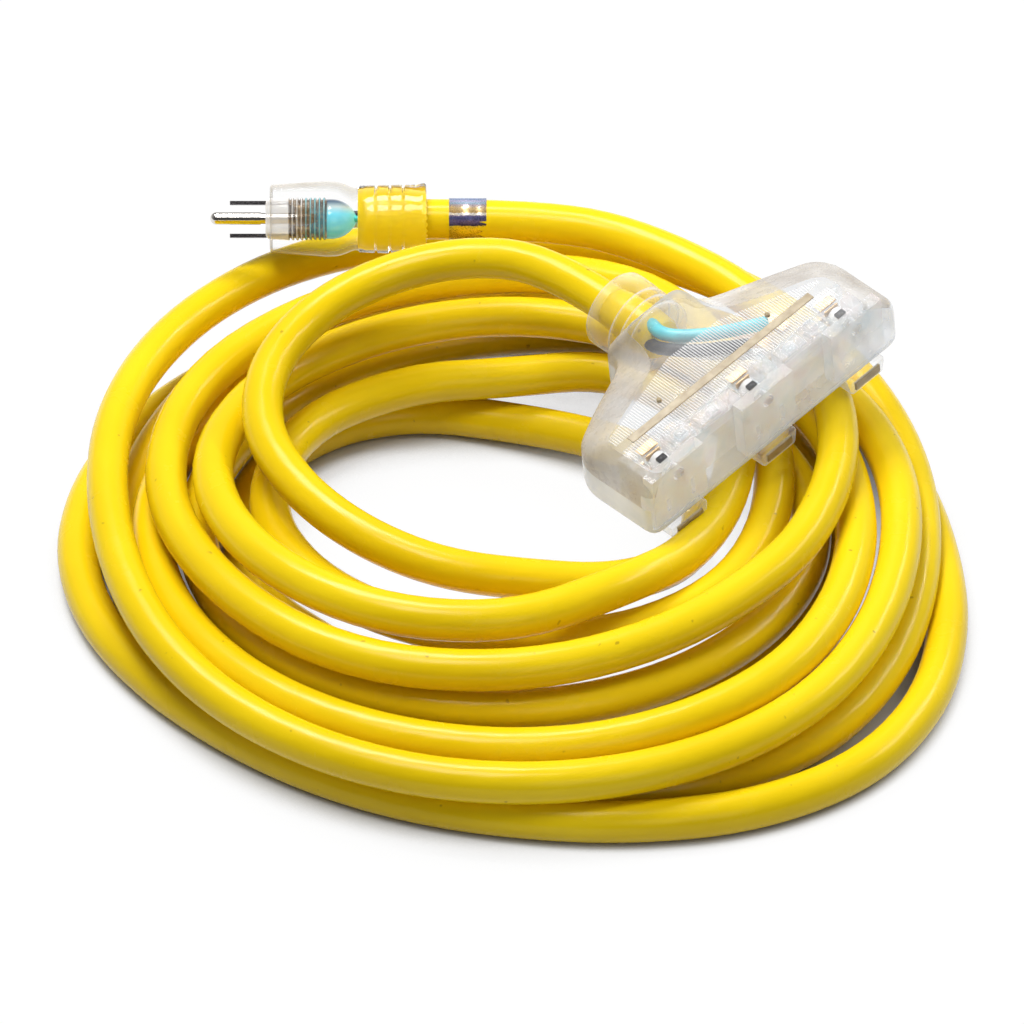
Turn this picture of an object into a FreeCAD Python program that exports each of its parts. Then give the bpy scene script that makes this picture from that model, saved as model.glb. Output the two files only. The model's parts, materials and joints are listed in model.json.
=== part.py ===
import FreeCAD, Part
import math
import os

# Heavy outdoor extension cord, loosely coiled, with a clear lighted plug and a clear block of three outlets.
# Millimetres. The origin is on the floor at the middle of the coil, +Z up, +Y to the back, +X to the right.

V = FreeCAD.Vector
doc = FreeCAD.newDocument("ExtensionCord")

# sizes
values = {
    "cord_diameter": 15.6,
    "coil_flat": 0.5,
    "label_gap": 0.05,
    "label_thickness": 0.25,
    "label_width": 14.0,
    "label_offset": 7.0,
    "part_gap": 0.1,
    # plug
    "plug_tilt": 37.0,
    "plug_x": -33.5,
    "plug_y": 141.8,
    "plug_z": 62.5,
    "plug_neck_radius": 13.3,
    "plug_neck_length": 26.0,
    "plug_ring_width": 1.6,
    "plug_ring_depth": 1.4,
    "plug_grip_half_width": 14.8,
    "plug_grip_half_depth": 13.0,
    "plug_grip_radius": 17.0,
    "plug_grip_front": 60.0,
    "plug_face": 62.5,
    "plug_core_half_width": 8.1,
    "plug_core_low": 10.5,
    "plug_core_high": 11.0,
    "plug_core_corner": 4.0,
    "plug_core_back": 45.0,
    "plug_dome_back": 26.8,
    "blade_spacing": 12.7,
    "blade_width": 6.35,
    "blade_thickness": 1.52,
    "blade_out": 13.2,
    "blade_in": 12.0,
    "blade_line": 5.0,
    "ground_offset": 11.9,
    "ground_diameter": 4.8,
    "ground_shank_radius": 2.1,
    "ground_step": 1.0,
    "ground_out": 20.5,
    "ground_in": 13.0,
    # outlet block
    "tap_x": 96.2,
    "tap_y": -0.7,
    "tap_z": 73.5,
    "tap_yaw": 43.6,
    "tap_pitch": -11.8,
    "tap_roll": 5.0,
    "tap_side": 4.0,
    "tap_height": 29.5,
    "tap_depth": 31.0,
    "tap_neck_radius": 15.5,
    "tap_neck_start": 58.0,
    "tap_neck_end": 82.6,
    "tap_wall": 2.2,
    "outlet_pitch": 47.5,
    "outlet_width": 27.0,
    "outlet_height": 25.0,
    "outlet_thick": 5.0,
    "outlet_line": 5.0,
    "slot_hot_height": 6.9,
    "slot_neutral_height": 8.4,
    "slot_width": 2.1,
    "ground_hole_radius": 2.65,
    "wire_radius": 2.1,
    "terminal_radius": 2.9,
    "lamp_radius": 1.5,
}
sizes = doc.addObject("Spreadsheet::Sheet", "Sizes")
for row, (word, number) in enumerate(values.items(), start=1):
    sizes.set("A%d" % row, word)
    sizes.set("B%d" % row, "%s" % number)
    sizes.setAlias("B%d" % row, word)
doc.recompute()


def size(word):
    return float(sizes.get(word))


def expression(text):
    """Words of the sheet in a text of spaced terms, as an expression."""
    words = []
    for term in str(text).split(" "):
        bare = term.strip("()")
        if bare in values:
            term = term.replace(bare, "Sizes." + bare)
        words.append(term)
    return " ".join(words)


def bind(thing, prop, text):
    thing.setExpression(prop, expression(text))


def set_base(thing, base):
    for axis, text in zip("xyz", base):
        bind(thing, ".Placement.Base." + axis, text)


def block(name, lengths, base):
    """A box; its base point is its low corner."""
    thing = doc.addObject("Part::Box", name)
    for prop, text in zip(("Length", "Width", "Height"), lengths):
        bind(thing, prop, text)
    set_base(thing, base)
    return thing


TURNS = {
    "x": FreeCAD.Rotation(V(0, 1, 0), 90),
    "y": FreeCAD.Rotation(V(1, 0, 0), -90),
    "z": FreeCAD.Rotation(),
}


def rod(name, radius, length, base, along="x"):
    """A cylinder along one axis from its base point."""
    thing = doc.addObject("Part::Cylinder", name)
    bind(thing, "Radius", radius)
    bind(thing, "Height", length)
    thing.Placement = FreeCAD.Placement(V(), TURNS[along])
    set_base(thing, base)
    return thing


def cone(name, radius_from, radius_to, length, base, along="x"):
    thing = doc.addObject("Part::Cone", name)
    bind(thing, "Radius1", radius_from)
    bind(thing, "Radius2", radius_to)
    bind(thing, "Height", length)
    thing.Placement = FreeCAD.Placement(V(), TURNS[along])
    set_base(thing, base)
    return thing


def join(name, things):
    thing = doc.addObject("Part::MultiFuse", name)
    thing.Shapes = things
    return thing


def cut(name, body, tool):
    thing = doc.addObject("Part::Cut", name)
    thing.Base = body
    thing.Tool = tool
    return thing


def common(name, things):
    thing = doc.addObject("Part::MultiCommon", name)
    thing.Shapes = things
    return thing


def prism(name, outline, low, height):
    """A flat outline in X and Y, raised along Z."""
    line = doc.addObject("Part::Polygon", name + "_outline")
    line.Nodes = [V(x, y, low) for x, y in outline]
    line.Close = True
    thing = doc.addObject("Part::Extrusion", name)
    thing.Base = line
    thing.DirMode = "Custom"
    thing.Dir = V(0, 0, 1)
    thing.LengthFwd = height
    thing.Solid = True
    return thing


def feature(name, shape):
    thing = doc.addObject("Part::Feature", name)
    thing.Shape = shape
    return thing


# cord: a route of straight runs joined by tangent arcs, each arc as large as its two runs allow
def corner_radii(route):
    found = []
    for a, b, c in zip(route, route[1:], route[2:]):
        first, second = b - a, c - b
        turn = first.getAngle(second)
        shorter = min(first.Length, second.Length)
        found.append(0.45 * shorter / math.tan(turn / 2))
    return found


def route_wire(route):
    edges = []
    start = route[0]
    for a, b, c in zip(route, route[1:], route[2:]):
        first, second = b - a, c - b
        turn = first.getAngle(second)
        reach = 0.45 * min(first.Length, second.Length)
        radius = reach / math.tan(turn / 2)
        first.normalize()
        second.normalize()
        into = b - first * reach
        out = b + second * reach
        inward = second - first
        inward.normalize()
        middle = b + inward * (radius / math.cos(turn / 2) - radius)
        edges.append(Part.LineSegment(start, into).toShape())
        edges.append(Part.Arc(into, middle, out).toShape())
        start = out
    edges.append(Part.LineSegment(start, route[-1]).toShape())
    return Part.Wire(edges)


def pipe(wire, radius):
    first = wire.Edges[0]
    start = first.valueAt(first.FirstParameter)
    heading = first.tangentAt(first.FirstParameter)
    ring = Part.Wire([Part.Circle(start, heading, radius).toShape()])
    maker = Part.BRepOffsetAPI.MakePipeShell(wire)
    maker.add(ring)
    maker.build()
    maker.makeSolid()
    solid = maker.shape()
    if solid.Volume < 0:
        solid.reverse()
    return solid


def tube(route, radius):
    return pipe(route_wire(route), radius)


cord_radius = size("cord_diameter") / 2
floor_height = cord_radius - size("coil_flat")

# coil stations, chosen by hand: angle in degrees round the middle, radius, height
coil_stations = [
    (225, 88, cord_radius), (270, 97, floor_height), (315, 107, floor_height), (360, 117, floor_height),
    (405, 130, floor_height), (450, 147, floor_height), (495, 161, floor_height), (540, 164, floor_height),
    (585, 151, floor_height), (630, 159, floor_height), (675, 180, floor_height), (720, 162.5, floor_height),
    (765, 158, 11.5), (810, 151, 24), (855, 149, 22.5), (900, 147, floor_height), (945, 134, floor_height),
    (990, 142, floor_height), (1035, 159, 9), (1080, 153, 21), (1105, 156, 25.3), (1125, 159, 32),
    (1170, 165, 37.5), (1200, 171, 37), (1230, 161.5, 37.5), (1260, 151, 37), (1305, 153, 26), (1350, 159, 24),
    (1395, 160, 26), (1425, 148, 32.7), (1440, 145, 35.5), (1485, 140, 31), (1530, 132, 27),
    (1575, 131, 24), (1620, 135, 23.4), (1665, 136.5, 23.8), (1710, 140, 23.8), (1755, 144, 32),
    (1785, 131.8, 36.5), (1800, 127, 36.2), (1825, 124.6, 35.4), (1845, 122, 33), (1890, 114, 27),
    (1935, 114, 24), (1980, 118, 23.4), (2025, 119.6, 23.4), (2070, 117, 23.4), (2115, 115.5, 24),
    (2160, 112, 23.9), (2205, 98, 25.9),
]
coil_end_slope = -40.0


def station_frames(stations, end_slope):
    """Point and heading of the cord at every station."""
    frames = []
    last = len(stations) - 1
    for i, here in enumerate(stations):
        before = stations[max(i - 1, 0)]
        after = stations[min(i + 1, last)]
        slopes = []
        for k in (1, 2):
            if i in (0, last):
                slope = (after[k] - before[k]) / math.radians(after[0] - before[0]) if k == 1 else 0.0
            else:
                back = math.radians(here[0] - before[0])
                ahead = math.radians(after[0] - here[0])
                slope_back = (here[k] - before[k]) / back
                slope_ahead = (after[k] - here[k]) / ahead
                slope = (slope_back * ahead + slope_ahead * back) / (back + ahead)
                if k == 2 and slope_back * slope_ahead <= 0:
                    slope = 0.0
            slopes.append(slope)
        if i == last:
            slopes[0] = end_slope
        angle = math.radians(here[0])
        outward = V(math.cos(angle), math.sin(angle), 0)
        around = V(-math.sin(angle), math.cos(angle), 0)
        heading = outward * slopes[0] + around * here[1] + V(0, 0, slopes[1])
        heading.normalize()
        frames.append((outward * here[1] + V(0, 0, here[2]), heading))
    return frames


def arc_from(start, heading, end):
    """The circular arc from a point along a heading to another point."""
    chord = end - start
    half = chord.getAngle(heading)
    side = chord - heading * chord.dot(heading)
    side.normalize()
    radius = chord.Length / (2 * math.sin(half))
    middle = start + heading * (radius * math.sin(half)) + side * (radius * (1 - math.cos(half)))
    return Part.Arc(start, middle, end).toShape(), radius


def coil_wire(frames, straight):
    edges = []
    radii = []
    first, heading = frames[0]
    edges.append(Part.LineSegment(first - heading * straight, first).toShape())
    for (p0, t0), (p1, t1) in zip(frames, frames[1:]):
        chord = p1 - p0
        both = t0 + t1
        along = chord.dot(both)
        spread = 2 * (1 - t0.dot(t1))
        reach = (-along + math.sqrt(along * along + spread * chord.dot(chord))) / spread
        q0 = p0 + t0 * reach
        q1 = p1 - t1 * reach
        middle = (q0 + q1) * 0.5
        turned = q1 - q0
        turned.normalize()
        for start, way, end in ((p0, t0, middle), (middle, turned, p1)):
            edge, radius = arc_from(start, way, end)
            edges.append(edge)
            radii.append(radius)
    final, heading = frames[-1]
    edges.append(Part.LineSegment(final, final + heading * straight).toShape())
    return Part.Wire(edges), radii


coil_frames = station_frames(coil_stations, coil_end_slope)
coil_path, coil_radii = coil_wire(coil_frames, size("cord_diameter"))
coil_start = coil_path.Edges[0].valueAt(coil_path.Edges[0].FirstParameter)
coil_finish = coil_frames[-1][0] + coil_frames[-1][1] * size("cord_diameter")

# placements of the plug and of the outlet block
plug_place = FreeCAD.Placement(
    V(size("plug_x"), size("plug_y"), size("plug_z")), FreeCAD.Rotation(180, 0, size("plug_tilt")))
tap_place = FreeCAD.Placement(
    V(size("tap_x"), size("tap_y"), size("tap_z")),
    FreeCAD.Rotation(size("tap_yaw"), size("tap_pitch"), size("tap_roll")))
tap_neck_end = tap_place.multVec(V(0, size("tap_neck_end"), 0))
tap_axis = tap_place.Rotation.multVec(V(0, 1, 0))
plug_neck_end = plug_place.Base

# the lead from the outlet block into the coil, points chosen by hand
tap_lead_points = [
    (-18.6, 94, 79), (-50.4, 90.5, 72), (-77, 72.5, 66.5), (-92.8, 44.2, 62), (-94.5, 12, 57), (-80.5, -17.5, 52.5),
    (-57, -42, 48.5), (-26.5, -57.5, 44.5), (7.5, -58.5, 40), (40.5, -50, 32.5), (66.5, -29.5, 24.5),
    (80, 0.6, 20.5), (77.7, 33.5, 17.5), (60, 61.5, 13), (32, 79, 10.8), (-4, 90, 8.5), (-40, 95, 7.8),
    (-74, 82, 7.8), (-97, 53, 7.8), (-104, 18, 7.8),
]
tap_lead_route = [tap_neck_end, tap_neck_end + tap_axis * 35]
tap_lead_route += [V(*point) for point in tap_lead_points]
tap_lead_route += [coil_start - coil_frames[0][1] * 36, coil_start]

# the lead from the coil to the plug: points chosen by hand, first x, y, z, then angle, radius, height
plug_lead_first = [(-4, 86, 27), (-40, 81.5, 28)]
plug_lead_turns = [
    (147, 97, 29), (180, 95, 30), (210, 88, 30), (240, 82, 29.5), (270, 81, 29), (300, 90.5, 29.6),
    (330, 97.5, 31), (360, 101, 35.4), (390, 109, 42.3), (420, 109, 42), (450, 107, 43.5), (480, 108, 43.5),
    (510, 114, 43.5), (540, 116.5, 46.5), (570, 112, 50.5), (600, 106, 50), (630, 97, 49),
    (660, 83, 48.4), (690, 79.2, 38.8), (720, 84.6, 43.2), (750, 99, 56.6), (780, 114.5, 60),
    (810, 126, 51), (840, 134.5, 44), (870, 139, 41), (900, 134.5, 40), (930, 126, 40), (960, 123, 40),
    (990, 118, 40.5), (1020, 115, 42), (1050, 116, 44.5), (1068, 119.5, 49.3), (1086, 124.5, 52.5),
    (1104, 129, 55.2), (1127, 134.5, 58.5), (1150, 140.5, 60.8),
]
plug_lead_route = [coil_finish, coil_finish + coil_frames[-1][1] * 24]
plug_lead_route += [V(*point) for point in plug_lead_first]
for angle, radius, height in plug_lead_turns:
    turn = math.radians(angle)
    plug_lead_route.append(V(radius * math.cos(turn), radius * math.sin(turn), height))
plug_lead_route += [plug_neck_end + V(44, 0, 0), plug_neck_end]

# cord solids
coil_pipe = pipe(coil_path, cord_radius)
floor_cutter = Part.makeBox(900, 900, 100, V(-450, -450, -100))
cord_coil = feature("cord_coil", coil_pipe.cut(floor_cutter).Solids[0])
cord_lead_to_tap = feature("cord_lead_to_tap", tube(tap_lead_route, cord_radius))
cord_lead_to_plug = feature("cord_lead_to_plug", tube(plug_lead_route, cord_radius))

label_out = rod("label_out", "cord_diameter / 2 + label_gap + label_thickness", "label_width",
                ("plug_x + label_offset", "plug_y", "plug_z"))
label_in = rod("label_in", "cord_diameter / 2 + label_gap", "label_width + 2",
               ("plug_x + label_offset - 1", "plug_y", "plug_z"))
cord_label = cut("cord_label", label_out, label_in)

# plug, in its own frame: x from the cord's end to the pins, y towards the ground pin, z across the blades
neck = rod("plug_neck", "plug_neck_radius", "plug_neck_length + 3", ("0", "0", "0"))
rings = []
for i, place in enumerate((7.5, 13.1, 18.1)):
    outer = rod("plug_ring_outer_%d" % i, "plug_neck_radius + 1", "plug_ring_width", (place, "0", "0"))
    inner = rod("plug_ring_inner_%d" % i, "plug_neck_radius - plug_ring_depth", "plug_ring_width", (place, "0", "0"))
    rings.append(cut("plug_ring_%d" % i, outer, inner))
neck_ringed = cut("plug_neck_ringed", neck, join("plug_rings", rings))
grip_box = block("plug_grip_box", ("plug_grip_front - plug_neck_length - plug_grip_half_width + 1",
                                   "plug_grip_half_depth * 2", "plug_grip_half_width * 2"),
                 ("plug_neck_length + plug_grip_half_width - 1", "- plug_grip_half_depth", "- plug_grip_half_width"))
grip_round = rod("plug_grip_round", "plug_grip_half_width", "plug_grip_half_depth * 2",
                 ("plug_neck_length + plug_grip_half_width - 1", "- plug_grip_half_depth", "0"), "y")
grip_core = rod("plug_grip_core", "plug_grip_radius", "plug_grip_front", ("0", "0", "0"))
grip = common("plug_grip", [join("plug_grip_u", [grip_box, grip_round]), grip_core])


def core_shape(name, low_x, high_x, grow):
    """The rounded block that carries the blades, from low_x to high_x, grown on all sides."""
    tall = block(name + "_tall", ("%s - ( %s )" % (high_x, low_x),
                                  "plug_core_low + plug_core_high - plug_core_corner * 2",
                                  "( plug_core_half_width + %s ) * 2" % grow),
                 (low_x, "- plug_core_low + plug_core_corner", "- ( plug_core_half_width + %s )" % grow))
    wide = block(name + "_wide", ("%s - ( %s )" % (high_x, low_x),
                                  "plug_core_low + plug_core_high + %s * 2" % grow,
                                  "( plug_core_half_width - plug_core_corner ) * 2"),
                 (low_x, "- ( plug_core_low + %s )" % grow, "- ( plug_core_half_width - plug_core_corner )"))
    parts = [tall, wide]
    for i, (y, z) in enumerate(((-1, -1), (-1, 1), (1, -1), (1, 1))):
        y_text = "- plug_core_low + plug_core_corner" if y < 0 else "plug_core_high - plug_core_corner"
        z_text = "%d * ( plug_core_half_width - plug_core_corner )" % z
        parts.append(rod(name + "_corner_%d" % i, "plug_core_corner + %s" % grow,
                         "%s - ( %s )" % (high_x, low_x), (low_x, y_text, z_text)))
    return join(name, parts)


def dome_shape(name, grow):
    """A box from the dome's back to the inner block, well rounded at the back and along its sides."""
    raw = block(name + "_box", ("plug_core_back - plug_dome_back + 0.9 * %s" % grow,
                                "plug_core_low + plug_core_high + %s * 2" % grow,
                                "( plug_core_half_width + %s ) * 2" % grow),
                ("plug_dome_back - %s" % grow, "- ( plug_core_low + %s )" % grow,
                 "- ( plug_core_half_width + %s )" % grow))
    doc.recompute()
    soft = doc.addObject("Part::Fillet", name)
    soft.Base = raw
    chosen = []
    for number, edge in enumerate(raw.Shape.Edges, start=1):
        if edge.CenterOfMass.x < raw.Shape.BoundBox.XMax - 0.5:
            chosen.append((number, 7.4 + float(grow), 7.4 + float(grow)))
    soft.Edges = chosen
    return soft


cavity = join("plug_cavity", [
    core_shape("plug_cavity_core", "plug_core_back - 1", "plug_face + 5", "part_gap"),
    dome_shape("plug_cavity_dome", "0.1"),
    rod("plug_cavity_cord", "cord_diameter / 2 + 0.02", "22", ("-1", "0", "0")),
    rod("plug_cavity_wires", "6", "14", ("20", "0", "0")),
])
plug_housing = cut("plug_housing", join("plug_outside", [neck_ringed, grip]), cavity)

blade_back = "plug_face - blade_in"
blades = {}
for word, side in (("hot", "1"), ("neutral", "-1")):
    blades[word] = block("plug_blade_" + word, ("blade_in + blade_out", "blade_width", "blade_thickness"),
                         (blade_back, "- blade_line - blade_width / 2",
                          side + " * blade_spacing / 2 - blade_thickness / 2"))
pin_rod = rod("plug_pin_rod", "ground_diameter / 2", "ground_out - ground_diameter / 2 - ground_step",
              ("plug_face + ground_step", "ground_offset - blade_line", "0"))
pin_shank = rod("plug_pin_shank", "ground_shank_radius", "ground_in + ground_step + 1",
                ("plug_face - ground_in", "ground_offset - blade_line", "0"))
pin_tip = doc.addObject("Part::Sphere", "plug_pin_tip")
bind(pin_tip, "Radius", "ground_diameter / 2")
set_base(pin_tip, ("plug_face + ground_out - ground_diameter / 2", "ground_offset - blade_line", "0"))
plug_ground_pin = join("plug_ground_pin", [pin_rod, pin_shank, pin_tip])

# the inner block has ring grooves round it and holes for the blades, the pin and their crimps
block_body = core_shape("plug_block_body", "plug_core_back", "plug_face", "0")
grooves = []
for i in range(5):
    ring_out = core_shape("plug_groove_out_%d" % i, "%s" % (46.6 + 2.2 * i), "%s" % (47.6 + 2.2 * i), "2")
    ring_in = core_shape("plug_groove_in_%d" % i, "%s" % (46.6 + 2.2 * i), "%s" % (47.6 + 2.2 * i), "-0.5")
    grooves.append(cut("plug_groove_%d" % i, ring_out, ring_in))
holes = []
for word, side in (("hot", "1"), ("neutral", "-1")):
    holes.append(block("plug_slot_" + word, ("blade_in + part_gap + 5", "blade_width + part_gap * 2",
                                             "blade_thickness + part_gap * 2"),
                       ("plug_face - blade_in - part_gap", "- blade_line - blade_width / 2 - part_gap",
                        side + " * blade_spacing / 2 - blade_thickness / 2 - part_gap")))
    holes.append(rod("plug_crimp_hole_" + word, "1.9", "plug_face - blade_in - plug_core_back + 1",
                     ("plug_core_back - 1", "- blade_line", side + " * 4.2")))
holes.append(rod("plug_pin_hole", "ground_shank_radius + part_gap", "30",
                 ("plug_core_back - 1", "ground_offset - blade_line", "0")))
holes.append(rod("plug_pin_crimp_hole", "ground_diameter / 2 + part_gap", "plug_face - ground_in - plug_core_back + 1",
                 ("plug_core_back - 1", "ground_offset - blade_line", "0")))
plug_inner_block = cut("plug_inner_block", block_body, join("plug_block_cuts", grooves + holes))

# the lit dome behind the inner block, with a hollow for the wires
dome_body = dome_shape("plug_dome", "0")
dome_hollow = join("plug_dome_hollow", [
    block("plug_dome_hollow_box", ("plug_core_back - 28.5", "16.4", "12.4"), ("28.5", "-7", "-6.2")),
    rod("plug_dome_mouth", "4.8", "14", ("20", "0", "0")),
])
plug_lamp_dome = cut("plug_lamp_dome", dome_body, dome_hollow)

# crimp barrels between the wires and the blades
crimp_hot = rod("plug_crimp_hot", "1.7", "8.4", ("42", "- blade_line", "4.2"))
crimp_neutral = rod("plug_crimp_neutral", "1.7", "8.4", ("42", "- blade_line", "-4.2"))
crimp_ground = rod("plug_crimp_ground", "2.2", "7.3", ("42", "ground_offset - blade_line", "0"))
plug_crimps = join("plug_crimps", [crimp_hot, crimp_neutral, crimp_ground])

# stripped end of the cord inside the neck
cord_end_in_plug = rod("cord_end_in_plug", "cord_diameter / 2 - 0.03", "20", ("0.05", "0", "0"))


def plug_tube(name, points, radius):
    return feature(name, tube([V(*point) for point in points], radius))


plug_wire_hot = plug_tube("plug_wire_hot", [(20.2, -1.4, 2.0), (29, -1.4, 2.0), (34, -3.4, 3.2), (41.6, -5.0, 4.2)], 1.25)
plug_wire_neutral = plug_tube("plug_wire_neutral", [(20.2, -1.4, -2.0), (29, -1.4, -2.0), (34, -3.4, -3.2), (41.6, -5.0, -4.2)], 1.25)
plug_wire_ground = plug_tube("plug_wire_ground", [(20.2, 2.2, 0), (28, 2.2, 0), (34, 4.8, 0), (41.6, 6.9, 0)], 1.25)
plug_lamp = join("plug_lamp", [
    rod("plug_lamp_bulb", "lamp_radius", "5", ("34.5", "0.6", "0")),
    rod("plug_resistor", "0.9", "3.2", ("40.5", "0.6", "0")),
    rod("plug_lamp_link", "0.3", "5.5", ("39.4", "0.6", "0")),
])

# outlet block, in its own frame: x across, y from the outlet face to the cord, z up
half_height = size("tap_height") / 2
half_width = size("outlet_pitch") + size("outlet_width") / 2 + size("tap_side")
depth = size("tap_depth")
outline_half = [(half_width, 0), (half_width, depth), (half_width - 4.5, depth + 3), (half_width - 6.5, depth + 6),
                (24, depth + 19), (17.5, depth + 20), (17.5, depth + 31)]
outline = outline_half + [(-x, y) for x, y in reversed(outline_half)]
tap_slab = prism("tap_slab", outline, -half_height, 2 * half_height)
doc.recompute()
tap_soft = doc.addObject("Part::Fillet", "tap_soft")
tap_soft.Base = tap_slab
rims = []
for number, edge in enumerate(tap_slab.Shape.Edges, start=1):
    if abs(abs(edge.CenterOfMass.z) - half_height) < 0.01:
        rims.append((number, 2.4, 2.4))
tap_soft.Edges = rims
tap_neck = rod("tap_neck", "tap_neck_radius", "tap_neck_end - tap_neck_start", ("0", "tap_neck_start", "0"), "y")
tap_rings = []
for i, place in enumerate((62.0, 67.0, 72.0)):
    outer = rod("tap_ring_outer_%d" % i, "tap_neck_radius + 1", "1.8", ("0", place, "0"), "y")
    inner = rod("tap_ring_inner_%d" % i, "tap_neck_radius - 1.6", "1.8", ("0", place, "0"), "y")
    tap_rings.append(cut("tap_ring_%d" % i, outer, inner))
tap_neck_ringed = cut("tap_neck_ringed", tap_neck, join("tap_rings", tap_rings))
panel_half = [(half_width - 4, 13), (half_width - 4, 22), (20, depth + 11)]
panel_outline = panel_half + [(-x, y) for x, y in reversed(panel_half)]
bar_length, bar_start = "2 * outlet_pitch + 13", "- outlet_pitch - 6.5"
tap_panel = prism("tap_panel", panel_outline, half_height - 1, 1.8)
stripe = block("tap_stripe", (bar_length, "3.6", "2"), (bar_start, "18.2", half_height + 0.3))
tap_panel_cut = cut("tap_panel_cut", tap_panel, stripe)
tabs = []
for i in (-1, 0, 1):
    tab = block("tap_tab_%d" % (i + 1), ("20", "5", "8"), ("%d * outlet_pitch - 10" % i, "0", -half_height - 4.8))
    window = block("tap_tab_window_%d" % (i + 1), ("13", "3", "3.4"),
                   ("%d * outlet_pitch - 6.5" % i, "-1", -half_height - 4))
    tabs.append(cut("tap_tab_cut_%d" % (i + 1), tab, window))
tap_outside = join("tap_outside", [tap_soft, tap_neck_ringed, tap_panel_cut] + tabs)
hollow_half = [(half_width - 2.6, 6), (half_width - 2.6, depth - 2.5), (half_width - 9, depth + 2), (22, depth + 15),
               (14, depth + 18), (13, depth + 30.5)]
hollow_outline = hollow_half + [(-x, y) for x, y in reversed(hollow_half)]
tap_hollow_room = prism("tap_hollow_room", hollow_outline, -11.5, 23)
face_holes = []
for i in (-1, 0, 1):
    face_holes.append(block("tap_face_hole_%d" % (i + 1),
                            ("outlet_width + part_gap * 2", "8", "outlet_height + part_gap * 2"),
                            ("%d * outlet_pitch - outlet_width / 2 - part_gap" % i, "-1",
                             "- outlet_height / 2 - part_gap")))
tap_cord_hole = rod("tap_cord_hole", "cord_diameter / 2 + 0.02", "27", ("0", "tap_neck_end - 25", "0"), "y")
tap_housing = cut("tap_housing", tap_outside, join("tap_room", [tap_hollow_room, tap_cord_hole] + face_holes))

# outlet faces with their slots and ground holes
slot_low = "- outlet_line"
outlet_faces = []
for i, word in ((-1, "left"), (0, "middle"), (1, "right")):
    middle = "%d * outlet_pitch" % i
    plate = block("outlet_plate_" + word, ("outlet_width", "outlet_thick", "outlet_height"),
                  (middle + " - outlet_width / 2", "0.6", "- outlet_height / 2"))
    hot = block("outlet_hot_" + word, ("slot_width", "8", "slot_hot_height"),
                (middle + " - blade_spacing / 2 - slot_width / 2", "-1", slot_low + " - slot_hot_height / 2"))
    neutral = block("outlet_neutral_" + word, ("slot_width", "8", "slot_neutral_height"),
                    (middle + " + blade_spacing / 2 - slot_width / 2", "-1",
                     slot_low + " - slot_neutral_height / 2"))
    ground = rod("outlet_ground_" + word, "ground_hole_radius", "8",
                 (middle, "-1", "ground_offset - outlet_line"), "y")
    outlet_faces.append(cut("outlet_face_" + word, plate, join("outlet_cuts_" + word, [hot, neutral, ground])))

# contact carrier: a clear block behind the faces with a pocket for every contact
carrier_body = block("carrier_body", ("2 * outlet_pitch + 24", "14", "21"), ("- outlet_pitch - 12", "6.2", "-10.5"))
pockets = []
for i in (-1, 0, 1):
    middle = "%d * outlet_pitch" % i
    pockets.append(block("pocket_hot_%d" % (i + 1), ("6", "12.6", "8.6"), (middle + " - 9.35", "6", "-9.3")))
    pockets.append(block("pocket_neutral_%d" % (i + 1), ("6", "12.6", "9.4"), (middle + " + 3.35", "6", "-9.7")))
    pockets.append(rod("pocket_ground_%d" % (i + 1), "3.75", "14.5", (middle, "6", "6.6"), "y"))
pocket_length, pocket_start = "2 * outlet_pitch + 17", "- outlet_pitch - 8.5"
tap_contact_carrier = cut("tap_contact_carrier", carrier_body, join("carrier_pockets", pockets + [
    block("pocket_hot_bus", (pocket_length, "2.6", "4"), (pocket_start, "18.2", "-10")),
    block("pocket_neutral_bus", (pocket_length, "2.6", "4"), (pocket_start, "18.2", "-4.4")),
    block("pocket_ground_bus", (pocket_length, "2.2", "6"), (pocket_start, "18.6", "3.6")),
]))


def bus(name, side, low, high, clip_low, clip_high):
    """A bus bar with a spring clip of two leaves for every outlet."""
    parts = [block(name + "_bar", (bar_length, "1", high - low), (bar_start, "19.4", low))]
    for i in (-1, 0, 1):
        middle = "%d * outlet_pitch + %s * blade_spacing / 2" % (i, side)
        for j, shift in enumerate((-2.1, 1.3)):
            parts.append(block("%s_leaf_%d_%d" % (name, i + 1, j), ("0.8", "11", clip_high - clip_low),
                               (middle + " + " + "%s" % shift, "6.8", clip_low)))
        parts.append(block("%s_back_%d" % (name, i + 1), ("4.2", "0.8", clip_high - clip_low),
                           (middle + " - 2.1", "17.4", clip_low)))
        parts.append(block("%s_foot_%d" % (name, i + 1), ("3", "1.6", high - low - 0.4),
                           (middle + " - 1.5", "18", low + 0.2)))
    return join(name, parts)


tap_hot_bus = bus("tap_hot_bus", "-1", -9.4, -6.6, -9.0, -1.4)
tap_neutral_bus = bus("tap_neutral_bus", "1", -3.9, -1.1, -9.0, -1.0)
ground_parts = [block("tap_ground_bar", (bar_length, "0.8", "5"), (bar_start, "19.6", "4.1"))]
for i in (-1, 0, 1):
    barrel = rod("tap_ground_barrel_%d" % (i + 1), "3.6", "12.8", ("%d * outlet_pitch" % i, "6.9", "6.6"), "y")
    bore = rod("tap_ground_bore_%d" % (i + 1), "2.6", "11.4", ("%d * outlet_pitch" % i, "6.8", "6.6"), "y")
    ground_parts.append(cut("tap_ground_tube_%d" % (i + 1), barrel, bore))
tap_ground_bus = join("tap_ground_bus", ground_parts)

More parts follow.
